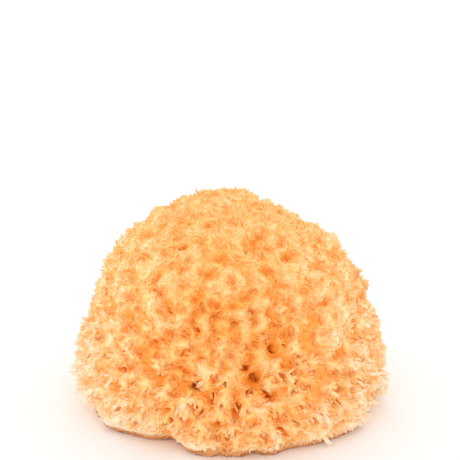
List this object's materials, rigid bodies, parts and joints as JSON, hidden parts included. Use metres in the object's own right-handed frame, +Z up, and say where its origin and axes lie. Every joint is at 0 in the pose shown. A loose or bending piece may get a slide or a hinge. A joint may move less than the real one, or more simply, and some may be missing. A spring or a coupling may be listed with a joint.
{
  "type": "natural sponge",
  "caption": "Domed natural sea sponge with a tufted, pitted surface and a flat knife-cut base with open canals.",
  "frame": {"origin": "middle of the flat cut base, on the surface that the sponge stands on", "axes": "+Z up through the crown, +X to the right along the longest side, -Y towards the viewer of the picture"},
  "size_m": [0.1567, 0.1367, 0.1076],
  "materials": {
    "spongin": "soft matt fibre, pale honey at the tips and deeper orange in the pits"
  },
  "bodies": {
    "root": {"sponge": "spongin"}
  },
  "joints": []
}
